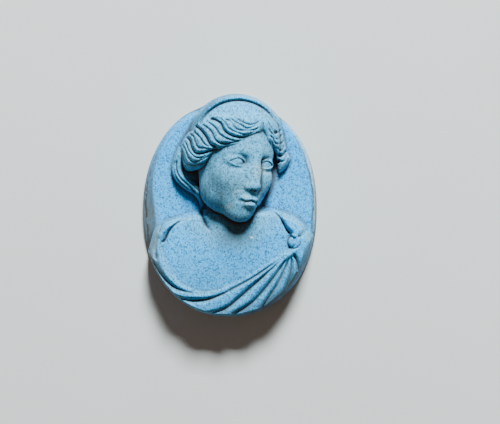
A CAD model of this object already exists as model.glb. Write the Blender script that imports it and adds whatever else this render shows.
import bpy
import numpy as np
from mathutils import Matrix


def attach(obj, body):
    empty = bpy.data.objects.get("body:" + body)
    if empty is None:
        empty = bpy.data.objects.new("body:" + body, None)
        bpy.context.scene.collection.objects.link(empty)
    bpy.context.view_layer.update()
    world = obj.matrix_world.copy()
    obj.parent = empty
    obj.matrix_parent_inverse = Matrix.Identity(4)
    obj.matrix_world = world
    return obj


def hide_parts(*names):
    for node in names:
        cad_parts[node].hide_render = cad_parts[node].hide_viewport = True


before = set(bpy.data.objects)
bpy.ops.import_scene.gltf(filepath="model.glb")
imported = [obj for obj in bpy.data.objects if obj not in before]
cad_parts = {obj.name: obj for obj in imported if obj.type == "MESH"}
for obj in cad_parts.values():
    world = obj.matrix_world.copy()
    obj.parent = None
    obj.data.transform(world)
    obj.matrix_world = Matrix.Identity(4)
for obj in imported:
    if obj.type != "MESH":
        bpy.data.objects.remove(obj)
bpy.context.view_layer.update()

mm = 0.001  # every form below is worked out in millimetres, and the mesh is made in metres

# Every form is a height over the plan, in millimetres: x to the viewer's right, y to the top of the head
oval = {
    "width": 29.7, "length": 36.4,
    "fullness": 2.16,           # exponent of the superellipse, 2 is a plain ellipse
    "shoulderFullness": 0.14,   # added towards the upper right
    "shoulderBearing": 50,
    "cornerBlend": 0.4,         # rounding of the corner where the crown leaves the oval
    "drop": 0.79,               # centre below the origin, because the crown overtops the oval
    "backBand": 0.9,            # upright band round the back
    "field": 4.0,               # background of the relief
    "dish": 0.35,               # how far it sinks in the middle
    "dishFrom": 0.2,            # and from which share of the half width it rises again
    "bevel": 1.0,               # plan width of the sloping edge
    "bevelExtraLeft": 1.3, "bevelBearing": 192, "bevelSpread": 30,
    "bevelBlend": 0.25,
}


# smooth step from 0 at low to 1 at high: t * t * (3 - 2 * t)
def ramp(low, high, x):
    t = np.clip((x - low) / (high - low), 0, 1)
    return t * t * (3 - 2 * t)


# the larger of two fields, with the corner rounded over k: a and b weighed by h, and k * h * (1 - h) added
def blendMax(a, b, k):
    h = np.clip(0.5 + 0.5 * (a - b) / k, 0, 1)
    return b + (a - b) * h + k * h * (1 - h)


# the smaller of two fields, rounded the same way: the larger of their negatives, turned back
def blendMin(a, b, k):
    return -blendMax(-a, -b, k)


# quarter round: 0 at the edge, 1 from one radius inwards, by sqrt(s * (2 - s))
def quarter(share):
    share = np.clip(share, 0, 1)
    return np.sqrt(share * (2 - share))


# superellipse round its centre: r(a) = (|cos a / (w/2)|^p + |sin a / (l/2)|^p)^(-1/p)
def ovalReach(angle):
    towards = np.maximum(0, np.cos(angle - np.radians(oval["shoulderBearing"])))
    power = oval["fullness"] + oval["shoulderFullness"] * towards
    across = np.abs(np.cos(angle)) / (oval["width"] / 2)
    along = np.abs(np.sin(angle)) / (oval["length"] / 2)
    return (across ** power + along ** power) ** (-1 / power)


# far root of the ray from the oval's centre through the crown's circle
def crownReach(angle):
    x, y = head["crownPlace"][0], head["crownPlace"][1] + oval["drop"]
    along = x * np.cos(angle) + y * np.sin(angle)
    aside = x * np.sin(angle) - y * np.cos(angle)
    half = head["crownRadius"] ** 2 - aside ** 2
    return np.where(half > 0, along + np.sqrt(np.maximum(half, 0)), 0)


# the further of the oval and the crown's circle, with the corner between them rounded
def outlineReach(angle):
    return blendMax(ovalReach(angle), crownReach(angle), oval["cornerBlend"])


# distance and bearing of plan points from a place
def polar(x, y, place):
    return np.hypot(x - place[0], y - place[1]), np.arctan2(y - place[1], x - place[0])


# bell of height 1 round a bearing, all in degrees: exp(-(difference / spread)^2)
def bearingBell(angle, centre, spread):
    return np.exp(-(((np.degrees(angle) - centre + 180) % 360 - 180) / spread) ** 2)


# plan width of the sloping edge: wider by a bell round the lower left
def bevelWidth(angle):
    wider = bearingBell(angle, oval["bevelBearing"], oval["bevelSpread"])
    return oval["bevel"] + oval["bevelExtraLeft"] * wider


drawing = {"steps": 6, "outlineSteps": 5, "strandSteps": 7, "strandPoints": 36}   # chords of the guide curves


# centripetal Catmull-Rom curve: cubic Hermite spans whose tangents weigh chords by the root of their length
def curve(points, steps):
    p = np.asarray(points, float)
    p = np.vstack([2 * p[0] - p[1], p, 2 * p[-1] - p[-2]])
    out = []
    n = len(p) - 3
    for i in range(n):
        p0, p1, p2, p3 = p[i:i + 4]
        k0, k1, k2 = [max(np.hypot(*(b - a)) ** 0.5, 1e-6) for a, b in ((p0, p1), (p1, p2), (p2, p3))]
        m1 = ((p1 - p0) / k0 - (p2 - p0) / (k0 + k1) + (p2 - p1) / k1) * k1
        m2 = ((p2 - p1) / k1 - (p3 - p1) / (k1 + k2) + (p3 - p2) / k2) * k1
        t = np.linspace(0, 1, steps + 1)[:, None]
        if i < n - 1:
            t = t[:-1]
        out.append((2 * t**3 - 3 * t**2 + 1) * p1 + (t**3 - 2 * t**2 + t) * m1
                   + (-2 * t**3 + 3 * t**2) * p2 + (t**3 - t**2) * m2)
    return np.vstack(out)


# distance from points to a line of chords, and the share of its length at the nearest place
def lineDistance(line, x, y):
    a, b = line[:-1], line[1:]
    d = b - a
    length = np.maximum((d ** 2).sum(1), 1e-12)
    px, py = x[:, None] - a[:, 0], y[:, None] - a[:, 1]
    part = np.clip((px * d[:, 0] + py * d[:, 1]) / length, 0, 1)
    far = np.hypot(px - part * d[:, 0], py - part * d[:, 1])
    k = far.argmin(1)
    rows = np.arange(len(x))
    lens = np.concatenate([[0], np.cumsum(np.sqrt(length))])
    t = (lens[k] + part[rows, k] * np.sqrt(length[k])) / lens[-1]
    return far[rows, k], t


# distance inside a closed outline, negative outside it: crossings of a ray towards +x give the sign
def insideDistance(line, x, y):
    ring = np.vstack([line, line[:1]])
    far, _ = lineDistance(ring, x, y)
    a, b = ring[:-1], ring[1:]
    spans = (a[:, 1] > y[:, None]) != (b[:, 1] > y[:, None])
    rise = np.where(np.abs(b[:, 1] - a[:, 1]) < 1e-9, 1e-9, b[:, 1] - a[:, 1])
    xCross = a[:, 0] + (y[:, None] - a[:, 1]) * (b[:, 0] - a[:, 0]) / rise
    odd = ((spans & (x[:, None] < xCross)).sum(1) % 2) == 1
    return np.where(odd, far, -far)


# deepest cut of a set of grooves: depth * (1 - distance / half)^2, fading out over a share of each end
def grooves(lines, x, y, half, depth, fade):
    cut = np.zeros_like(x)
    for line in lines:
        box = ((x > line[:, 0].min() - half) & (x < line[:, 0].max() + half)
               & (y > line[:, 1].min() - half) & (y < line[:, 1].max() + half))
        if not box.any():
            continue
        far, t = lineDistance(line, x[box], y[box])
        full = np.ones_like(t)
        for share, along in zip(fade, (t, 1 - t)):
            if share:
                full *= ramp(0, share, along)
        here = depth * full * np.clip(1 - far / half, 0, 1) ** 2
        cut[box] = np.maximum(cut[box], here)
    return cut


# cuts one groove along each list of points, placed by onHead or onOval and drawn as a curve
def carved(lists, place, x, y, half, depth, fade):
    lines = [curve(place(points), drawing["steps"]) for points in lists]
    return grooves(lines, x, y, half, depth, fade)


head = {
    "height": 20.0, "place": (0.25, 7.45), "sink": 1.3,
    "relief": 0.8,              # share of the true depth
    "turn": np.radians(33), "lean": np.radians(7), "nod": np.radians(2),
    "crownRadius": 8.65, "crownPlace": (1.05, 10.3),
    "crownLip": 0.9,            # plan width of the crown's falling edge
    "crownFacet": 0.35, "facetBearing": 150, "facetSpread": 30,
    "lipSink": 0.6, "lipRise": 5.2, "lipBlend": 0.4,
    "lipFrom": 0.27, "lipLift": 60,   # below this share of the dressed head the crown's edge lets go
    "eye": 0.138, "noseBase": -0.215, "mouth": -0.312,   # shares of the height, from its middle
}


# turns a towards b: (a cos - b sin, a sin + b cos)
def turned(a, b, angle):
    return a * np.cos(angle) - b * np.sin(angle), a * np.sin(angle) + b * np.cos(angle)


# a plan point at a depth, in shares of the head's height, turned by lean, nod and turn into its own axes
def toHead(x, y, depth):
    px = (x - head["place"][0]) / head["height"]
    py = (y - head["place"][1]) / head["height"]
    across, up = turned(px, py, head["lean"])
    out, up = turned(depth, up, head["nod"])
    across, out = turned(across, out, head["turn"])
    return across, up, out


# nearly the distance to an egg: a (a - 1) / b, where a is the scaled radius and b its slope
def egg(x, y, z, rx, ry, rz):
    a = np.sqrt((x / rx) ** 2 + (y / ry) ** 2 + (z / rz) ** 2)
    b = np.sqrt((x / rx ** 2) ** 2 + (y / ry ** 2) ** 2 + (z / rz ** 2) ** 2)
    return a * (a - 1) / np.maximum(b, 1e-9)


# distance to a rod from a to b whose radius runs from ra to rb
def rod(x, y, z, a, b, ra, rb):
    d = [q - p for p, q in zip(a, b)]
    p = [x - a[0], y - a[1], z - a[2]]
    t = np.clip((p[0] * d[0] + p[1] * d[1] + p[2] * d[2]) / (d[0] ** 2 + d[1] ** 2 + d[2] ** 2), 0, 1)
    far = np.sqrt((p[0] - d[0] * t) ** 2 + (p[1] - d[1] * t) ** 2 + (p[2] - d[2] * t) ** 2)
    return far - (ra + (rb - ra) * t)


# parts of the bare head in shares of its height: foot point, centre from there, half sizes and rounding of
# the joint; the paired ones stand on both sides, and the hollow ones are cut out
face = {
    "skull": ((0, 0.13, -0.04), (0.34, 0.37, 0.42)),   # centre and half sizes alone
    "front": [
        ("single", (0, 0), (0, -0.115, 0.08), (0.268, 0.345, 0.29), 0.07),
        ("paired", (0, 0), (0.15, -0.25, 0.06), (0.09, 0.13, 0.15), 0.12),   # jaw
        ("single", (0, 0), (0, -0.415, 0.235), (0.1, 0.08, 0.095), 0.1),   # chin
        ("paired", (0, 0), (0.155, -0.12, 0.225), (0.095, 0.09, 0.085), 0.1),   # cheeks
        ("single", (0, 0), (0, -0.31, 0.26), (0.11, 0.1, 0.12), 0.07),   # round the mouth
    ],
    "brow": ((0.035, 0.082, 0.342), (0.2, 0.075, 0.25), 0.026, 0.018), "browBlend": 0.07,
    "sockets": [
        ("paired hollow", (head["eye"], 0), (-0.012, 0.004, 0.392), (0.105, 0.052, 0.1), 0.055),
        ("single", (0, 0), (0, -0.1, 0.335), (0.06, 0.15, 0.065), 0.06),   # flanks of the nose
    ],
    "bridge": ((0, 0.1, 0.348), (0, head["noseBase"] + 0.05, 0.4), 0.028, 0.034), "bridgeBlend": 0.06,
    "nose": [
        ("single", (0, head["noseBase"]), (0, 0.034, 0.41), (0.038, 0.034, 0.04), 0.03),
        ("paired", (0, head["noseBase"]), (0.044, 0.026, 0.372), (0.026, 0.028, 0.04), 0.025),
        ("paired hollow", (0, head["noseBase"]), (0.021, -0.004, 0.405), (0.012, 0.011, 0.022), 0.012),
    ],
    "lid": ((0, 0.006, 0.26), (0.1, 0.066, 0.094)), "lidEdge": 0.006, "lidBlend": 0.016,
    "almond": (0.038, -0.026), "almondHalf": 0.56, "almondTilt": 0.004,
    "eyeball": [("paired", (head["eye"], 0), (0, 0, 0.256), (0.086, 0.062, 0.08), 0.003)],
    "lips": [
        ("paired", (0, head["mouth"]), (0.024, 0.018, 0.364), (0.05, 0.021, 0.038), 0.022),
        ("single", (0, head["mouth"]), (0, -0.028, 0.362), (0.054, 0.026, 0.038), 0.02),
    ],
    "seam": (0.076, 0.009, 0.05), "seamDepth": 0.412, "seamBlend": 0.012,
    "seamWave": 0.006, "seamWaves": 60, "seamBend": 0.9,
    "folds": [
        ("paired hollow", (0, head["mouth"]), (0.082, -0.006, 0.352), (0.016, 0.014, 0.022), 0.03),
        ("single hollow", (0, head["mouth"]), (0, -0.072, 0.412), (0.055, 0.018, 0.045), 0.04),
        ("single hollow", (0, head["mouth"]), (0, 0.066, 0.415), (0.012, 0.03, 0.03), 0.02),
    ],
}


# joins eggs to a field one after the other, or cuts them out of it
def joined(d, parts, x, y, z):
    for kind, (footX, footY), (cx, cy, cz), size, blend in parts:
        across = np.abs(x) if "paired" in kind else x
        part = egg(across - footX - cx, y - footY - cy, z - cz, *size)
        d = blendMax(d, -part, blend) if "hollow" in kind else blendMin(d, part, blend)
    return d


# the bare head as one field: its parts in order, with almond-shaped openings in the lids, each bounded by
# height * (1 - e^2), and a mouth line that waves by a cosine and bends down with x^2
def headField(x, y, z):
    ax = np.abs(x)
    (cx, cy, cz), size = face["skull"]
    d = joined(egg(x - cx, y - cy, z - cz, *size), face["front"], x, y, z)
    d = blendMin(d, rod(ax, y, z, *face["brow"]), face["browBlend"])
    d = joined(d, face["sockets"], x, y, z)
    d = blendMin(d, rod(x, y, z, *face["bridge"]), face["bridgeBlend"])
    d = joined(d, face["nose"], x, y, z)
    ex = (ax - head["eye"]) / (face["almondHalf"] * head["eye"])
    upper, lower = [height * (1 - ex * ex) + face["almondTilt"] * ex for height in face["almond"]]
    almond = np.maximum(y - upper, lower - y)
    (cx, cy, cz), size = face["lid"]
    lids = blendMax(egg(ax - head["eye"] - cx, y - cy, z - cz, *size), -almond, face["lidEdge"])
    d = joined(blendMin(d, lids, face["lidBlend"]), face["eyeball"] + face["lips"], x, y, z)
    seam = y - head["mouth"] - face["seamWave"] * np.cos(ax * face["seamWaves"]) + face["seamBend"] * ax * ax
    d = blendMax(d, -egg(x, seam, z - face["seamDepth"], *face["seam"]), face["seamBlend"])
    return joined(d, face["folds"], x, y, z)


trace = {
    "reach": 0.6, "start": 0.56, "floor": -0.06,   # shares of the head's height
    "steps": 70, "stride": 0.85, "hit": 0.0006,
}


# sphere tracing straight down through the head: each step is a safe share of the distance left
def headTop(x, y):
    top = np.full_like(x, -np.inf)
    live = np.flatnonzero(polar(x, y, head["place"])[0] < trace["reach"] * head["height"])
    depth = np.full(len(live), trace["start"])
    for _ in range(trace["steps"]):
        d = headField(*toHead(x[live], y[live], depth))
        hit = d < trace["hit"]
        top[live[hit]] = oval["field"] + head["sink"] + (depth - d)[hit] * head["height"] * head["relief"]
        keep = ~hit & (depth > trace["floor"])
        depth = (depth - np.maximum(trace["stride"] * d, trace["hit"]))[keep]
        live = live[keep]
        if not len(live):
            break
    return top


# the skull under the hair, in shares of the head's height, and how steeply it falls outside its outline
dome = {"place": (0, 0.13, -0.05), "size": (0.42, 0.5, 0.44), "fall": 0.8}


# near root of the view's ray through the dome, (-b + sqrt(b^2 - a c)) / a, carried on smoothly outside it
def domeTop(x, y):
    start, end = toHead(x, y, 0.0), toHead(x, y, 1.0)
    a, b, c = 0, 0, -1
    for s, e, p, r in zip(start, end, dome["place"], dome["size"]):
        first, slope = (s - p) / r, (e - s) / r
        a, b, c = a + slope ** 2, b + first * slope, c + first ** 2
    inside = b * b - a * c
    outside = -dome["fall"] * np.sqrt(np.maximum(-inside, 0))
    root = np.where(inside > 0, np.sqrt(np.maximum(inside, 0)), outside)
    return oval["field"] + head["sink"] + (root - b) / a * head["height"] * head["relief"]


# shares of the dressed head's height, hair and band included, from its middle
def onHead(points):
    return np.asarray(points, float) * hair["tall"] + hair["place"]


# shares of the oval's half width and half length, from its centre
def onOval(points):
    return np.asarray(points, float) * (oval["width"] / 2, oval["length"] / 2) - (0, oval["drop"])


# hair: one mass over the dome, parted into locks by deep grooves and scored by finer strands between them
hair = {
    "tall": 21.4, "place": (0.3, 6.7), "leastBase": 1.7,
    "thick": 0.6, "thinFrom": (0.3, 0.42),   # it thins out to the smooth cap
    "edge": 2.0, "edgeDrop": 2.3,
    "lockHalf": 0.6, "lockDepth": 0.95,
    "strandHalf": 0.38, "strandDepth": 0.45, "sway": 0.11, "waves": 2.3, "waveShift": 0.37,
    "lockFade": (0.06, 0.1), "strandFade": (0.12, 0.12),
    "drillRadius": 0.5, "drillDepth": 0.9, "drillFloor": 0.3,
    "mass": [
        (0.24, 0.237), (0.146, 0.177), (0.034, 0.138), (-0.062, 0.116), (-0.126, 0.092), (-0.167, 0.044),
        (-0.223, -0.02), (-0.287, -0.044), (-0.343, -0.047), (-0.39, -0.016), (-0.413, 0.048), (-0.42, 0.116),
        (-0.4, 0.175), (-0.37, 0.247), (-0.33, 0.33), (-0.24, 0.47), (-0.1, 0.59), (0.08, 0.62), (0.24, 0.57),
        (0.35, 0.46), (0.395, 0.36), (0.415, 0.225), (0.43, 0.16), (0.445, 0.1), (0.466, 0.05),
        (0.43, -0.024), (0.375, -0.06), (0.359, 0.016), (0.347, 0.088), (0.315, 0.136), (0.275, 0.177),
        (0.251, 0.233),
    ],
    "deep": ["crest", "temple", "ear", "farLow"],
    "single": ["top", "farTop", "parting"],
    "strands": [("top", "crest", 3), ("crest", "hairline", 2), ("temple", "ear", 2), ("ear", "under", 3),
                ("farTop", "farLow", 3), ("farLow", "farTip", 1)],
    "drills": [(-0.3, 0.297), (-0.368, 0.212), (-0.412, 0.125), (0.345, 0.25), (0.37, 0.03)],
}
lockLines = {
    "top": [(0.034, 0.355), (0.09, 0.323), (0.146, 0.303), (0.191, 0.313), (0.227, 0.341)],
    "crest": [(-0.171, 0.352), (-0.122, 0.341), (-0.077, 0.311), (-0.054, 0.261), (-0.01, 0.226),
              (0.066, 0.205), (0.146, 0.215), (0.227, 0.249)],
    "temple": [(-0.293, 0.307), (-0.239, 0.269), (-0.192, 0.209), (-0.159, 0.151), (-0.102, 0.127)],
    "ear": [(-0.363, 0.223), (-0.323, 0.189), (-0.307, 0.132), (-0.275, 0.088), (-0.223, 0.084),
            (-0.15, 0.108), (-0.094, 0.127)],
    "under": [(-0.411, 0.12), (-0.399, 0.04), (-0.366, -0.024), (-0.311, -0.042), (-0.255, -0.032),
              (-0.199, 0.004), (-0.15, 0.076), (-0.102, 0.119)],
    "farTop": [(0.287, 0.333), (0.319, 0.273), (0.347, 0.245), (0.378, 0.261), (0.387, 0.289)],
    "farLow": [(0.315, 0.136), (0.35, 0.09), (0.395, 0.072), (0.436, 0.12)],
    "farTip": [(0.36, 0.03), (0.385, -0.02), (0.415, -0.01), (0.45, 0.045)],
    "parting": [(0.25, 0.33), (0.247, 0.28), (0.242, 0.235)],
}
lockLines["hairline"] = lockLines["temple"] + [(0.018, 0.147), (0.146, 0.185), (0.239, 0.242)]
band = {
    "place": (1.55, 10.05), "radius": 7.95, "half": 0.45, "rise": 0.42,
    "from": (0.28, 0.34), "outerFrom": (0.4, 0.47),   # shares of the dressed head where it begins
    "aside": 0.7, "cut": 0.6, "cutHalf": 0.36,        # the line cut on either side of it
}
roll = {
    "rise": 2.2, "edge": 1.0, "fall": 1.3, "valley": 2.3,
    "sink": 0.22,               # share of its length over which its end sinks into the neck
    "grooveHalf": 0.5, "grooveDepth": 0.7, "strandHalf": 0.4, "strandDepth": 0.45, "fade": (0.1, 0.1),
    "outer": [(-0.42, 0.15), (-0.463, 0.04), (-0.472, -0.048), (-0.447, -0.112), (-0.379, -0.181),
              (-0.299, -0.233), (-0.259, -0.285), (-0.243, -0.345)],
    "inner": [(-0.2, -0.3), (-0.2, -0.12), (-0.2, 0.02), (-0.3, 0.08)],
    "groove": [(-0.431, 0.048), (-0.433, -0.032), (-0.403, -0.1), (-0.335, -0.165), (-0.267, -0.233)],
    "hollow": [(-0.33, 0.0), (-0.33, -0.07), (-0.28, -0.14), (-0.22, -0.2)],
}


# a curve cut into even steps of its own length
def evenly(line, count):
    far = np.concatenate([[0], np.cumsum(np.hypot(*np.diff(line, axis=0).T))])
    t = np.linspace(0, far[-1], count)
    return np.stack([np.interp(t, far, line[:, 0]), np.interp(t, far, line[:, 1])], -1)


# lines between two others, each swayed sideways by sway * sin(2 pi (waves * t + shift * i))
def between(first, last, count, sway):
    steps, samples = drawing["strandSteps"], drawing["strandPoints"]
    first, last = [evenly(curve(onHead(points), steps), samples) for points in (first, last)]
    t = np.linspace(0, 1, samples)
    lines = []
    for i in range(1, count + 1):
        line = first + (last - first) * i / (count + 1)
        along = np.gradient(line, axis=0)
        aside = np.stack([-along[:, 1], along[:, 0]], -1) / np.hypot(*along.T)[:, None]
        wave = sway * np.sin(2 * np.pi * (hair["waves"] * t + hair["waveShift"] * i))
        lines.append(line + aside * wave[:, None])
    return lines


# the roll over the nape: a quarter round along its outer line, and a smooth fall to the valley inside it
def rollTop(x, y):
    outer = curve(onHead(roll["outer"]), drawing["steps"])
    inside = insideDistance(np.vstack([outer, onHead(roll["inner"])]), x, y)
    far, t = lineDistance(outer, x, y)
    ridge = roll["rise"] * quarter(far / roll["edge"])
    ridge = ridge - roll["fall"] * ramp(roll["edge"], roll["valley"], far)
    fine = between(roll["groove"], roll["outer"][1:6], 1, 0) + between(roll["groove"], roll["hollow"], 1, 0)
    deep = carved([roll["groove"]], onHead, x, y, roll["grooveHalf"], roll["grooveDepth"], roll["fade"])
    scored = np.maximum(deep, grooves(fine, x, y, roll["strandHalf"], roll["strandDepth"], roll["fade"]))
    top = oval["field"] + ridge * ramp(0, roll["sink"], 1 - t) - scored
    return np.where(inside > 0, top, -np.inf)


# depth of everything cut into the hair: locks, strands between them, and drilled pits with smooth walls
def hairCuts(x, y):
    fine = [line for a, b, count in hair["strands"]
            for line in between(lockLines[a], lockLines[b], count, hair["sway"])]
    fine += [curve(onHead(lockLines[name]), drawing["steps"]) for name in hair["single"]]
    deep = [lockLines[name] for name in hair["deep"]]
    cut = np.maximum(carved(deep, onHead, x, y, hair["lockHalf"], hair["lockDepth"], hair["lockFade"]),
                     grooves(fine, x, y, hair["strandHalf"], hair["strandDepth"], hair["strandFade"]))
    for hole in onHead(hair["drills"]):
        share = polar(x, y, hole)[0] / hair["drillRadius"]
        cut = np.maximum(cut, hair["drillDepth"] * (1 - ramp(hair["drillFloor"], 1, share)))
    return cut


# what the band adds: a half round rise * sqrt(1 - s^2) round its circle, less a line on either side
def bandRelief(x, y, up):
    ring = polar(x, y, band["place"])[0] - band["radius"]
    begun = ramp(*band["from"], up)
    raised = band["rise"] * np.sqrt(np.maximum(1 - (ring / band["half"]) ** 2, 0))
    inner, outer = [band["cut"] * np.maximum(0, 1 - np.abs(ring + aside) / band["cutHalf"]) ** 2
                    for aside in (band["aside"], -band["aside"])]
    return raised * begun, inner * begun, outer * ramp(*band["outerFrom"], up)


# the hair's mass: the dome with its thickness and cuts, held under the crown's falling edge, and rounded off
def hairTop(x, y):
    mass = curve(onHead(hair["mass"] + hair["mass"][:1]), drawing["outlineSteps"])[:-1]
    depth = insideDistance(mass, x, y)
    up = (y - hair["place"][1]) / hair["tall"]
    body = np.maximum(domeTop(x, y), oval["field"] + hair["leastBase"])
    body = body + hair["thick"] * (1 - ramp(*hair["thinFrom"], up))
    far, bearing = polar(x, y, head["crownPlace"])
    facet = bearingBell(bearing, head["facetBearing"], head["facetSpread"])
    lip = head["crownLip"] + head["crownFacet"] * facet
    slope = oval["field"] - head["lipSink"] + (head["crownRadius"] - far) * head["lipRise"] / lip
    slope = slope + head["lipLift"] * np.maximum(0, head["lipFrom"] - up)
    raised, inner, outer = bandRelief(x, y, up)
    top = blendMin(body - hairCuts(x, y), slope, head["lipBlend"]) + raised - inner - outer
    top = top - hair["edgeDrop"] * (1 - quarter(depth / hair["edge"]))
    return np.where(depth > 0, top, -np.inf)


bust = {
    "rise": 1.9, "edge": 1.5,        # height over the background, and width of its rounded edge
    "swell": 0.7, "swellWidth": 7,   # more towards the middle
    "waist": -3.3,                   # level below which both sides turn
    "left": (12.6, 0.28), "right": (12.9, 0.7), "rightTaper": 0.3,
    "shoulder": -0.2, "shoulderCurve": 0.0145, "shoulderMiddle": 1.8,
    "cornerBlend": 1.5,
    "dressFrom": 0.9,                # width over which the dress rises from the bust's outline
    "rim": 0.4, "rimExtraRight": 0.55, "rimBearing": 328, "rimSpread": 42,
    "rimHeight": 5, "rimSlope": 7, "rimSlopeRight": 1.5,
}
neck = {
    "top": (0.2, 4), "foot": (1.2, -6.5), "radius": 5.1, "flare": 0.9, "sink": 2.0, "blend": 1.8,
    "tendon": [(-0.27, -0.26), (-0.25, -0.33), (-0.23, -0.4), (-0.2, -0.47), (-0.15, -0.54)],
    "tendonHalf": 0.8, "tendonDepth": 1.15, "tendonFade": (0.05, 0.4),
}
dress = {
    "rise": 0.7, "edge": (-0.2, 0.9),
    "hem": 0.3, "hemInset": 0.55, "hemHalf": 0.8,
    "foldHalf": 0.85, "foldDepth": 0.9, "foldFade": (0, 0.25),
    "creaseHalf": 0.75, "creaseDepth": 0.55, "creaseFade": (0.2, 0.2), "cutFrom": (-0.1, 0.5),
    "strapHalf": 0.38, "strapDepth": 0.6, "strapFade": (0.1, 0.15),
    "neckline": [
        (-0.57, -0.1), (-0.69, -0.2), (-0.76, -0.31), (-0.745, -0.42), (-0.68, -0.55), (-0.58, -0.66),
        (-0.45, -0.73), (-0.3, -0.76), (-0.12, -0.74), (0.06, -0.68), (0.25, -0.6), (0.44, -0.5),
        (0.58, -0.42), (0.7, -0.34), (0.7, -0.24), (0.62, -0.16), (0.56, -0.06), (0.48, 0.0),
    ],
    "aboveNeck": [(0.3, 0.3), (-0.4, 0.3)],   # closes the neckline over the throat
}
brooch = {
    "place": (0.725, -0.3), "radius": 0.93, "rise": 0.6, "foot": 0.35,
    "bead": (0.735, -0.24), "beadRadius": 0.45, "beadRise": 0.7, "beadFoot": 0.5,
    "moat": 0.45, "moatRadius": 1.1, "moatHalf": 0.4,
    "moatLeast": 0.3, "moatBearing": 300, "moatSpread": 55,   # deepest at the lower right
}
gather = (0.7, -0.39)   # where the folds meet, under the brooch
folds = [
    [(-0.95, -0.42), (-0.86, -0.5), (-0.78, -0.6), (-0.65, -0.7), (-0.5, -0.755), (-0.33, -0.77)],
    [(-0.62, -0.81), (-0.44, -0.84), (-0.28, -0.83), (-0.1, -0.785), (0.06, -0.72), (0.24, -0.64),
     (0.46, -0.52), gather],
    [(-0.3, -0.97), (-0.16, -0.95), (-0.02, -0.9), (0.1, -0.82), (0.24, -0.72), (0.4, -0.6),
     (0.55, -0.49), gather],
    [(0.05, -0.97), (0.15, -0.92), (0.28, -0.84), (0.38, -0.75), (0.46, -0.67), (0.56, -0.56), gather],
    [(0.38, -0.9), (0.47, -0.78), (0.54, -0.69), (0.6, -0.59), (0.66, -0.48), gather],
    [(0.62, -0.8), (0.65, -0.72), (0.68, -0.62), (0.7, -0.5), gather],
    [(0.78, -0.66), (0.78, -0.58), (0.76, -0.48), gather],
]
shoulderGrooves = [
    [(-0.77, -0.11), (-0.78, -0.16), (-0.8, -0.22)],
    [(-0.8, -0.22), (-0.835, -0.34), (-0.83, -0.48)],
    [(0.79, -0.26), (0.83, -0.22), (0.9, -0.17)],
]
strapLines = [
    [(-0.55, -0.095), (-0.675, -0.185), (-0.735, -0.285), (-0.785, -0.31)],
    [(0.5, -0.01), (0.565, -0.07), (0.615, -0.14), (0.66, -0.2), (0.7, -0.23)],
    [(0.77, -0.25), (0.83, -0.235), (0.88, -0.19)],
]


# half ellipsoid of a given radius and rise round a place, far below the stone outside it
def cap(place, radius, rise, x, y):
    share = ((x - place[0]) ** 2 + (y - place[1]) ** 2) / radius ** 2
    return np.where(share < 1, rise * np.sqrt(np.maximum(1 - share, 0)), -9)


# distance inside the bust's outline: two straight sides under a shoulder line that falls with (x - middle)^2
def insideBust(x, y):
    low = bust["waist"] - y
    left = bust["left"][0] + bust["left"][1] * low + x
    right = (bust["right"][0] + bust["right"][1] * low - x) / (1 + bust["rightTaper"] * np.maximum(low, 0))
    shoulder = bust["shoulder"] - bust["shoulderCurve"] * (x - bust["shoulderMiddle"]) ** 2 - y
    return blendMin(np.where(x < 0, left, right), shoulder, bust["cornerBlend"])


# the neck: an ellipse round a line that widens downwards, far below the stone outside it
def neckTop(x, y):
    (ax, ay), (bx, by) = neck["top"], neck["foot"]
    part = np.clip(((x - ax) * (bx - ax) + (y - ay) * (by - ay)) / ((bx - ax) ** 2 + (by - ay) ** 2), 0, 1)
    far = np.hypot(x - ax - (bx - ax) * part, y - ay - (by - ay) * part)
    share = far / (neck["radius"] + neck["flare"] * part)
    height = neck["radius"] * head["relief"] * np.sqrt(np.maximum(1 - share ** 2, 0))
    return np.where(share < 1, oval["field"] - neck["sink"] + height, -9), share < 1


# what stands above the skin: cloth outside the neckline, with a soft rolled hem, less its folds and straps,
# and the brooch with its bead
def dressTop(x, y):
    edge = curve(onOval(dress["neckline"]), drawing["outlineSteps"])
    bare = insideDistance(np.vstack([edge, onOval(dress["aboveNeck"])]), x, y)
    cloth = dress["rise"] * ramp(*dress["edge"], -bare)
    fromHem = np.abs(bare + dress["hemInset"]) / dress["hemHalf"]
    cloth = cloth + dress["hem"] * (1 - np.minimum(1, fromHem) ** 2)
    cut = np.maximum(
        carved(folds, onOval, x, y, dress["foldHalf"], dress["foldDepth"], dress["foldFade"]),
        carved(shoulderGrooves, onOval, x, y, dress["creaseHalf"], dress["creaseDepth"], dress["creaseFade"]))
    straps = carved(strapLines, onOval, x, y, dress["strapHalf"], dress["strapDepth"], dress["strapFade"])
    cut = np.maximum(cut * ramp(*dress["cutFrom"], -bare), straps)
    place, bead = onOval([brooch["place"], brooch["bead"]])
    far, bearing = polar(x, y, place)
    around = bearingBell(bearing, brooch["moatBearing"], brooch["moatSpread"])
    ring = np.abs(far - brooch["moatRadius"]) / brooch["moatHalf"]
    moat = brooch["moat"] * (brooch["moatLeast"] + (1 - brooch["moatLeast"]) * around) * (1 - quarter(ring))
    clasp = brooch["foot"] + cap(place, brooch["radius"], brooch["rise"], x, y)
    knob = brooch["beadFoot"] + cap(bead, brooch["beadRadius"], brooch["beadRise"], x, y)
    return np.maximum.reduce([cloth - cut - moat, clasp, knob])


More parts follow.
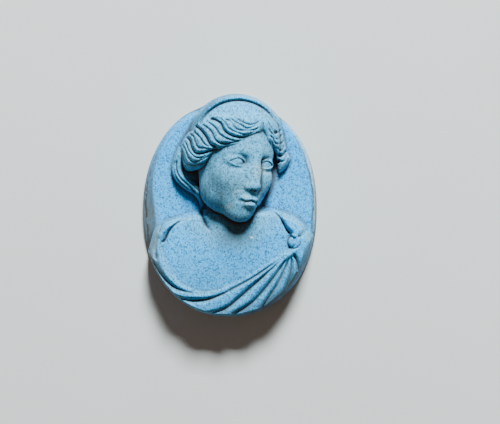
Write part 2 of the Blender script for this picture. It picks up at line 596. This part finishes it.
# chest and neck blended, with the dress on them and one line cut down the neck
def bustTop(x, y):
    depth = insideBust(x, y)
    chest = oval["field"] + bust["rise"] * ramp(0, bust["edge"], depth)
    chest = chest + bust["swell"] * ramp(0, bust["swellWidth"], depth)
    throat, onNeck = neckTop(x, y)
    top = np.where(depth > 0, blendMax(chest, throat, neck["blend"]), -np.inf)
    top = np.maximum(top, np.where(onNeck, throat, -np.inf))
    size = neck["tendonHalf"], neck["tendonDepth"], neck["tendonFade"]
    tendon = carved([neck["tendon"]], onHead, x, y, *size)
    above = dressTop(x, y) * ramp(0, bust["dressFrom"], depth)
    return np.where(np.isfinite(top), top + above - tendon, top)


# the whole face: the larger of plaque and figure, the figure held under a wall that rises from the outline
def faceTop(x, y):
    radius, angle = polar(x, y, (0, -oval["drop"]))
    whole = outlineReach(angle) - radius
    share = 2 * np.hypot(x / oval["width"], y / oval["length"])
    field = oval["field"] - oval["dish"] * (1 - ramp(oval["dishFrom"], 1, share))
    slope = oval["backBand"] + (field - oval["backBand"]) * (ovalReach(angle) - radius) / bevelWidth(angle)
    plaque = np.maximum(blendMin(field, slope, oval["bevelBlend"]), oval["backBand"])
    right = bearingBell(angle, bust["rimBearing"], bust["rimSpread"])
    run = bust["rim"] + bust["rimExtraRight"] * right
    share = np.clip(whole / run, 0, 1)
    wall = oval["backBand"] + bust["rimHeight"] * (quarter(share) * (1 - right) + share * right)
    steep = bust["rimSlope"] - (bust["rimSlope"] - bust["rimSlopeRight"]) * right
    wall = wall + steep * np.maximum(0, whole - run)
    figure = np.maximum.reduce([bustTop(x, y), headTop(x, y), hairTop(x, y), rollTop(x, y)])
    return np.maximum(plaque, np.minimum(figure, wall))


# box average over 2r+1 samples along both grid ways, by running sums
def blurred(grid, reach):
    for way in (0, 1):
        pad = [(reach + 1, reach) if k == way else (0, 0) for k in (0, 1)]
        total = np.cumsum(np.pad(grid, pad, mode="edge"), axis=way)
        count = total.shape[way]
        high = np.take(total, np.arange(2 * reach + 1, count), way)
        low = np.take(total, np.arange(0, count - 2 * reach - 1), way)
        grid = (high - low) / (2 * reach + 1)
    return grid


mesh = {
    "lines": 313,   # grid lines each way
    # grid steps that a look round a vertex reaches, and the depth in mm below them that counts in full
    "hollow": (20, 2.2), "crease": (3, 0.16), "valley": (7, 0.4),
}


# square (u, v) pressed into the disc: (u sqrt(1 - v^2/2), v sqrt(1 - u^2/2)), then out to the outline
def planGrid(lines):
    u, v = np.meshgrid(np.linspace(-1, 1, lines), np.linspace(-1, 1, lines))
    dx, dy = u * np.sqrt(1 - v * v / 2), v * np.sqrt(1 - u * u / 2)
    angle = np.arctan2(dy, dx)
    reach = np.hypot(dx, dy) * outlineReach(angle)
    return reach * np.cos(angle), reach * np.sin(angle) - oval["drop"]


# where the stone is stained or rubbed, in mm, degrees and shares of the dressed head
marks = {
    "waver": [(0.1, 9, 0), (0.06, 31, 1)],          # unevenness along the outline: depth, waves, start
    "stratum": [(0.55, 180, 48), (0.75, 15, 42)],   # distance from the outline, bearing, spread
    "stratumHalf": 0.2,
    "rind": (186, 38), "rindEdge": (0.7, 1.5),
    "rim": (15, 42), "rimEdge": (0.5, 0.7),
    "foot": (297, 33), "footEdge": (0.9, 2.6),
    "worn": [((0.06, -0.33), 0.13), ((0.27, -0.06), 0.1)],
    "ribbon": (137, 30), "ribbonEdge": (0.4, 0.62),
    "drape": (-8.0, -13.0), "drapeFrom": (4.6, 5.2),
    "handledStretch": (1.45, 1.25), "handledShift": (0.03, 0.07), "handledEdge": (0.5, 0.85),
    "handledLean": (0.03, 0.35), "handledFrom": (4.1, 5.0),
    "creaseFrom": (4.2, 5.4), "creaseLeast": 0.3,
    "cheek": (-2.6, 2.6), "cheekReach": (3.6, 4.2),
    "throat": (0.9, -5.3), "throatReach": (3.8, 2.3),
    "fleck": (3.73, -5.48), "fleckReach": (0.36, 0.19), "fleckEdge": (0.75, 1.0),
}


# how far a height field leans: 1 minus the upward part of the cross product of its two grid directions
def leaning(x, y, z):
    (xu, xv), (yu, yv), (zu, zv) = np.gradient(x), np.gradient(y), np.gradient(z)
    across, along, upward = yu * zv - zu * yv, zu * xv - xu * zv, xu * yv - yu * xv
    return 1 - np.abs(upward) / np.maximum(np.sqrt(across ** 2 + along ** 2 + upward ** 2), 1e-12)


# soft spot round a place: exp(-(dx / reach)^2 - (dy / reach)^2)
def spot(x, y, place, reach):
    return np.exp(-((x - place[0]) / reach[0]) ** 2 - ((y - place[1]) / reach[1]) ** 2)


# masks of the edge and of handling: bells over the bearing and the distance from the outline or from a place
def edgeMasks(x, y):
    radius, angle = polar(x, y, (0, -oval["drop"]))
    whole = outlineReach(angle) - radius
    for depth, waves, start in marks["waver"]:
        whole = whole + depth * np.sin(waves * angle + start)
    shares = (np.stack([x, y], -1) - hair["place"]) / hair["tall"]
    worn = sum(np.exp(-((shares - place) ** 2).sum(-1) / reach ** 2) for place, reach in marks["worn"])
    (stretchX, stretchY), (shiftX, shiftY) = marks["handledStretch"], marks["handledShift"]
    handled = np.hypot(shares[..., 0] * stretchX + shiftX, (shares[..., 1] + shiftY) * stretchY)
    far, bearing = polar(x, y, band["place"])
    ribbon = 1 - ramp(*marks["ribbonEdge"], np.abs(far - band["radius"]))
    fleck = (np.stack([x, y], -1) - marks["fleck"]) / marks["fleckReach"]
    stratum = sum(np.exp(-((whole - deep) / marks["stratumHalf"]) ** 2) * bearingBell(angle, middle, spread)
                  for deep, middle, spread in marks["stratum"])
    rind = 1 - ramp(*marks["rindEdge"], whole / bevelWidth(angle))
    return {
        "stratum": stratum,
        "rind": rind * bearingBell(angle, *marks["rind"]),
        "rim": (1 - ramp(*marks["rimEdge"], whole)) * bearingBell(angle, *marks["rim"]),
        "foot": (1 - ramp(*marks["footEdge"], whole)) * bearingBell(angle, *marks["foot"]),
        "worn": np.clip(worn, 0, 1),
        "ribbon": ribbon * bearingBell(bearing, *marks["ribbon"]),
        "drape": ramp(*marks["drape"], y),
        "handled": 1 - ramp(*marks["handledEdge"], handled),
        "cheek": spot(x, y, marks["cheek"], marks["cheekReach"]),
        "throat": spot(x, y, marks["throat"], marks["throatReach"]),
        "fleck": 1 - ramp(*marks["fleckEdge"], np.hypot(fleck[..., 0], fleck[..., 1])),
    }


# masks of the relief: how far each vertex lies below the mean round it, and what leans or stands high
def reliefMasks(x, y, z, masks):
    for name in ("hollow", "crease", "valley"):
        reach, full = mesh[name]
        masks[name] = np.clip((blurred(z, reach) - z) / full, 0, 1)
    leant = ramp(*marks["handledLean"], leaning(x, y, z))
    masks["handled"] = np.maximum(masks["handled"], leant) * ramp(*marks["handledFrom"], z)
    masks["drape"] *= ramp(*marks["drapeFrom"], z)
    masks["crease"] *= marks["creaseLeast"] + (1 - marks["creaseLeast"]) * ramp(*marks["creaseFrom"], z)
    return masks


# a new object at the origin, in the scene
def addObject(name, data):
    added = bpy.data.objects.new(name, data)
    bpy.context.scene.collection.objects.link(added)
    return added


# triangles of a grid of n by n points, each square cut so that the cuts run out from the middle, then of the
# band and the fan that close it from below; also the grid's ring of outer points
def closedFaces(n):
    ids = np.arange(n * n).reshape(n, n)
    a, b, c, d = ids[:-1, :-1], ids[:-1, 1:], ids[1:, 1:], ids[1:, :-1]
    row, column = np.indices((n - 1, n - 1)) - (n - 2) / 2
    rising = (row * column >= 0)[..., None]
    one = np.where(rising, np.stack([a, b, c], -1), np.stack([a, b, d], -1))
    two = np.where(rising, np.stack([a, c, d], -1), np.stack([b, c, d], -1))
    ring = np.concatenate([ids[0, :-1], ids[:-1, -1], ids[-1, :0:-1], ids[:0:-1, 0]])
    after = np.roll(ring, -1)
    foot = n * n + np.arange(len(ring))
    footAfter = np.roll(foot, -1)
    middle = np.full_like(foot, n * n + len(ring))
    faces = np.concatenate([one.reshape(-1, 3), two.reshape(-1, 3), np.stack([ring, foot, after], -1),
                            np.stack([after, foot, footAfter], -1), np.stack([foot, middle, footAfter], -1)])
    return faces, ring


# the closed stone: carved face, upright band and flat back, with its masks as vertex attributes
def buildCameo():
    n = mesh["lines"]
    x, y = planGrid(n)
    z = faceTop(x.ravel(), y.ravel()).reshape(n, n)
    border = np.zeros((n, n), bool)
    border[[0, -1], :] = border[:, [0, -1]] = True
    z[border] = oval["backBand"]
    faces, ring = closedFaces(n)
    top = np.stack([x.ravel(), y.ravel(), z.ravel()], -1)
    under = np.column_stack([top[ring, :2], np.zeros(len(ring))])
    points = np.vstack([top, under, [[0, -oval["drop"], 0]]]) * mm
    data = bpy.data.meshes.new("lavaCameo")
    data.from_pydata(points.tolist(), [], faces.tolist())
    unseen = len(points) - n * n
    for name, values in reliefMasks(x, y, z, edgeMasks(x, y)).items():
        layer = data.attributes.new(name, "FLOAT", "POINT")
        values = np.concatenate([values.ravel(), np.full(unseen, values.min())])
        layer.data.foreach_set("value", values.astype(np.float32))
    sawn = np.zeros(len(faces), bool)
    sawn[-3 * len(ring):] = True   # band and back
    data.polygons.foreach_set("material_index", sawn.astype(np.int32))
    data.polygons.foreach_set("use_smooth", ~sawn)
    data.update()
    return addObject("carvedCameo", data)


# an empty node group: inputs are (label, socket type, value or None), outputs are (label, socket type)
def newGroup(name, inputs, outputs):
    tree = bpy.data.node_groups.new(name, "ShaderNodeTree")
    for label, kind, value in inputs:
        socket = tree.interface.new_socket(label, in_out="INPUT", socket_type=kind)
        if value is not None:
            socket.default_value = value
    for label, kind in outputs:
        tree.interface.new_socket(label, in_out="OUTPUT", socket_type=kind)
    return tree, tree.nodes.new("NodeGroupInput"), tree.nodes.new("NodeGroupOutput")


# a node with its settings; each further value is a socket by name, or by number as _0, linked or set
def addNode(tree, kind, settings=None, **values):
    node = tree.nodes.new(kind)
    for name, value in (settings or {}).items():
        setattr(node, name, value)
    for name, value in values.items():
        socket = node.inputs[int(name[1:]) if name[0] == "_" else name]
        if isinstance(value, bpy.types.NodeSocket):
            tree.links.new(value, socket)
        else:
            socket.default_value = value
    return node


# smooth step of a factor between two values
def ramped(tree, factor, low, high):
    node = addNode(tree, "ShaderNodeMapRange", {"interpolation_type": "SMOOTHSTEP"}, Value=factor)
    node.inputs["From Min"].default_value = low
    node.inputs["From Max"].default_value = high
    return node.outputs["Result"]


# colour a changed to b by a factor
def mixed(tree, factor, a, b):
    return addNode(tree, "ShaderNodeMix", {"data_type": "RGBA"}, _0=factor, _6=a, _7=b).outputs[2]


# one operation on two values
def calc(tree, operation, a, b):
    return addNode(tree, "ShaderNodeMath", {"operation": operation}, _0=a, _1=b).outputs[0]


# value of a noise of some scale, by more settings if given
def noise(tree, place, scale, **more):
    return addNode(tree, "ShaderNodeTexNoise", Vector=place, Scale=scale, **more).outputs[0]


# noise drawn out along Y into strokes, a little aslant
def strokes(tree, place, across, along, **more):
    drawn = addNode(tree, "ShaderNodeMapping", Vector=place, Scale=(across, along, along),
                    Rotation=(0.0, 0.0, stone["slant"]))
    return noise(tree, drawn.outputs[0], 1.0, **more)


# value of a vertex attribute of the piece
def attribute(tree, name):
    return addNode(tree, "ShaderNodeAttribute", {"attribute_name": name}).outputs["Fac"]


# a new material, with its tree, its shader and its Object coordinates
def newMaterial(name):
    material = bpy.data.materials.new(name)
    material.use_nodes = True
    tree = material.node_tree
    place = addNode(tree, "ShaderNodeTexCoord").outputs["Object"]
    return material, tree, tree.nodes["Principled BSDF"], place


stone = {
    "ground": (0.008, 0.375, 0.86, 1), "sawnGround": (0.2, 0.27, 0.27, 1), "grain": (0.012, 0.06, 0.11, 1),
    "cloud": (0.06, 0.5, 0.85, 1), "lightGrain": (0.12, 0.6, 0.97, 1),
    "handled": (0.14, 0.37, 0.51, 1), "valley": (0.07, 0.115, 0.14, 1), "dirt": (0.07, 0.042, 0.03, 1),
    "ivory": (0.56, 0.58, 0.42, 1), "strata": (0.07, 0.026, 0.012, 1), "rind": (0.19, 0.19, 0.16, 1),
    "rim": (0.72, 0.7, 0.58, 1), "foot": (0.03, 0.036, 0.046, 1), "shade": (0.04, 0.13, 0.2, 1),
    "slate": (0.008, 0.04, 0.085, 1),
    # scales of the patterns, per metre, and across and along their length for strokes
    "clouds": 170.0, "crystals": 5600.0, "coarse": 1900.0, "patches": 420.0, "flecks": 1300.0,
    "strokes": (2600.0, 260.0), "smear": (2600.0, 240.0),
    "cloudFrom": (0.3, 0.7), "cloudShare": 0.25, "darkFrom": (0.5, 0.85), "lightFrom": (0.45, 0.2),
    "lightShare": 0.4, "clumpFrom": (0.56, 0.7), "clumpShare": 0.4,
    "slant": 0.12, "grainBump": 0.35, "bump": 0.55, "bumpDepth": 0.00006,
    "roughness": 0.72, "sawnRoughness": 0.85, "specular": 0.2,
    # coats under the grain and over it, the deepest first: amount and colour of each mask
    "under": {"handled": (0.85, "handled"), "worn": (0.6, "ivory"), "rim": (0.85, "rim"),
              "drape": (0.4, "shade"), "ribbon": (0.95, "slate")},
    "over": {"rind": (0.8, "rind"), "foot": (0.92, "foot"), "stratum": (0.9, "strata"),
             "cheek": (0.8, "valley"), "throat": (0.85, "valley"), "valley": (0.6, "valley"),
             "hollow": (0.65, "dirt"), "crease": (0.72, "dirt"), "fleck": (0.9, "ivory")},
    "broken": {"worn": (0.42, 0.6), "rind": (0.1, 0.45), "foot": (0.15, 0.55), "stratum": (0.4, 0.5),
               "cheek": (0.2, 0.75)},
    "sharpened": {"valley": (0.0, 0.8), "hollow": (0.05, 0.8), "crease": (0.2, 0.95)},
}


# colour of the stone: a pale ground with broad clouds and a salt-and-pepper of darker and lighter grains
def speckleGroup():
    tree, start, end = newGroup("lavaSpeckle", [
        ("Vector", "NodeSocketVector", None), ("Ground", "NodeSocketColor", (0.2, 0.4, 0.5, 1)),
        ("Grain", "NodeSocketColor", (0.1, 0.2, 0.3, 1)), ("Grain Share", "NodeSocketFloat", 0.75),
    ], [("Color", "NodeSocketColor"), ("Height", "NodeSocketFloat")])
    place, ground, grain, share = start.outputs[:4]
    cloud = ramped(tree, noise(tree, place, stone["clouds"], Detail=3.0), *stone["cloudFrom"])
    colour = mixed(tree, cloud, ground, mixed(tree, stone["cloudShare"], ground, stone["cloud"]))
    # one random value for each crystal, about 0.18 mm wide
    fine = addNode(tree, "ShaderNodeTexVoronoi", Vector=place, Scale=stone["crystals"]).outputs["Color"]
    dark = calc(tree, "MULTIPLY", ramped(tree, fine, *stone["darkFrom"]), share)
    colour = mixed(tree, dark, colour, grain)
    coarse = noise(tree, place, stone["coarse"], Detail=3.0, Roughness=0.7)
    clump = calc(tree, "MULTIPLY", ramped(tree, coarse, *stone["clumpFrom"]), share)
    colour = mixed(tree, calc(tree, "MULTIPLY", clump, stone["clumpShare"]), colour, grain)
    light = calc(tree, "MULTIPLY", ramped(tree, fine, *stone["lightFrom"]), stone["lightShare"])
    colour = mixed(tree, light, colour, stone["lightGrain"])
    tree.links.new(colour, end.inputs["Color"])
    tree.links.new(calc(tree, "SUBTRACT", 1.0, dark), end.inputs["Height"])
    return tree


# bump of the stone's grain and of fine strokes of the graver, drawn out along Y
def toolGroup():
    tree, start, end = newGroup("graverMarks", [
        ("Vector", "NodeSocketVector", None), ("Grain Height", "NodeSocketFloat", 0.0),
        ("Marks", "NodeSocketFloat", 0.5),
    ], [("Normal", "NodeSocketVector")])
    scored = strokes(tree, start.outputs["Vector"], *stone["strokes"], Detail=3.0)
    total = calc(tree, "ADD", calc(tree, "MULTIPLY", scored, start.outputs["Marks"]),
                 calc(tree, "MULTIPLY", start.outputs["Grain Height"], stone["grainBump"]))
    bump = addNode(tree, "ShaderNodeBump", Height=total, Strength=stone["bump"], Distance=stone["bumpDepth"])
    tree.links.new(bump.outputs[0], end.inputs["Normal"])
    return tree


# lays coats over a colour, each by its mask, sharpened or broken up where that is given, times its amount
def coated(tree, colour, coats, breaks):
    for name, (amount, coat) in coats.items():
        mask = attribute(tree, name)
        if name in stone["sharpened"]:
            mask = ramped(tree, mask, *stone["sharpened"][name])
        if name in breaks:
            mask = calc(tree, "MULTIPLY", mask, breaks[name])
        colour = mixed(tree, calc(tree, "MULTIPLY", mask, amount), colour, stone[coat])
    return colour


# links a colour to the shader, and the graver's bump over the grain's height
def finished(tree, shader, colour, grain, tools, roughness, **more):
    marked = addNode(tree, "ShaderNodeGroup", {"node_tree": tools}, **more)
    tree.links.new(grain.outputs["Height"], marked.inputs["Grain Height"])
    tree.links.new(colour, shader.inputs["Base Color"])
    tree.links.new(marked.outputs["Normal"], shader.inputs["Normal"])
    shader.inputs["Roughness"].default_value = roughness


# grain under the last coats and over the first, with the graver's strokes at full depth
def carvedMaterial(speckle, tools):
    material, tree, shader, place = newMaterial("carvedLava")
    patch = noise(tree, place, stone["patches"], Detail=4.0)
    patterns = {
        "worn": patch, "rind": patch, "foot": patch,
        "stratum": noise(tree, place, stone["flecks"], Detail=3.0),
        "cheek": strokes(tree, place, *stone["smear"]),
    }
    breaks = {name: ramped(tree, pattern, *stone["broken"][name]) for name, pattern in patterns.items()}
    ground = coated(tree, stone["ground"], stone["under"], breaks)
    grain = addNode(tree, "ShaderNodeGroup", {"node_tree": speckle}, Vector=place, Ground=ground,
                    Grain=stone["grain"])
    colour = coated(tree, grain.outputs["Color"], stone["over"], breaks)
    finished(tree, shader, colour, grain, tools, stone["roughness"], Vector=place, Marks=1.0)
    shader.inputs["Specular IOR Level"].default_value = stone["specular"]
    return material


# plain grain on a greyer ground, for the sawn band and back
def sawnMaterial(speckle, tools):
    material, tree, shader, place = newMaterial("sawnLava")
    grain = addNode(tree, "ShaderNodeGroup", {"node_tree": speckle}, Vector=place, Ground=stone["sawnGround"],
                    Grain=stone["grain"])
    finished(tree, shader, grain.outputs["Color"], grain, tools, stone["sawnRoughness"], Vector=place)
    return material


view = {"distance": 0.28, "lens": 117.4, "aim": (0.00343, -0.0012), "nearest": 0.01}   # metres


# camera straight above the stone, looking down
def addCamera():
    data = bpy.data.cameras.new("topCamera")
    data.lens = view["lens"]
    data.clip_start = view["nearest"]
    camera = addObject("topCamera", data)
    camera.location = (*view["aim"], view["distance"])
    bpy.context.scene.camera = camera


paleFloor = {
    "half": 0.6, "sink": 0.00002, "clouds": 30.0,
    "dark": (0.7, 0.62, 0.57, 1), "light": (0.76, 0.68, 0.63, 1), "roughness": 0.7,
}


# plain pale floor, one square just under the stone
def addFloor():
    half = paleFloor["half"]
    data = bpy.data.meshes.new("floor")
    corners = [(-half, -half, 0), (half, -half, 0), (half, half, 0), (-half, half, 0)]
    data.from_pydata(corners, [], [(0, 1, 2, 3)])
    floor = addObject("floor", data)
    floor.location.z = -paleFloor["sink"]
    material, tree, shader, place = newMaterial("paleFloor")
    cloud = noise(tree, place, paleFloor["clouds"], Detail=4.0)
    tree.links.new(mixed(tree, cloud, paleFloor["dark"], paleFloor["light"]), shader.inputs["Base Color"])
    shader.inputs["Roughness"].default_value = paleFloor["roughness"]
    data.materials.append(material)


lights = {
    "window": {"size": 0.2, "power": 21.5, "color": (0.74, 0.94, 1.0), "place": (0.1, 0.6, 0.5)},
    "fill": {"size": 0.5, "power": 0.1, "color": (1.0, 0.92, 0.82), "place": (-0.2, -0.12, 0.45)},
}
room = {"color": (1.0, 0.88, 0.78, 1), "strength": 0.09}


# square soft light that looks at the origin
def addLight(name):
    light = lights[name]
    data = bpy.data.lights.new(name, "AREA")
    data.size = light["size"]
    data.energy = light["power"]
    data.color = light["color"]
    lamp = addObject(name, data)
    lamp.location = light["place"]
    lamp.rotation_euler = (-lamp.location).to_track_quat("-Z", "Y").to_euler()


# warm, dim light from all round
def addRoom():
    world = bpy.data.worlds.new("room")
    world.use_nodes = True
    background = world.node_tree.nodes["Background"]
    background.inputs["Color"].default_value = room["color"]
    background.inputs["Strength"].default_value = room["strength"]
    bpy.context.scene.world = world


addCamera()
addFloor()
for name in lights:
    addLight(name)
addRoom()
print("camera, floor and lights placed")

cameo = buildCameo()
speckle, tools = speckleGroup(), toolGroup()
cameo.data.materials.append(carvedMaterial(speckle, tools))
cameo.data.materials.append(sawnMaterial(speckle, tools))
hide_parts("lava_cameo")
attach(cameo, "root")
print("cameo carved:", len(cameo.data.polygons), "triangles")
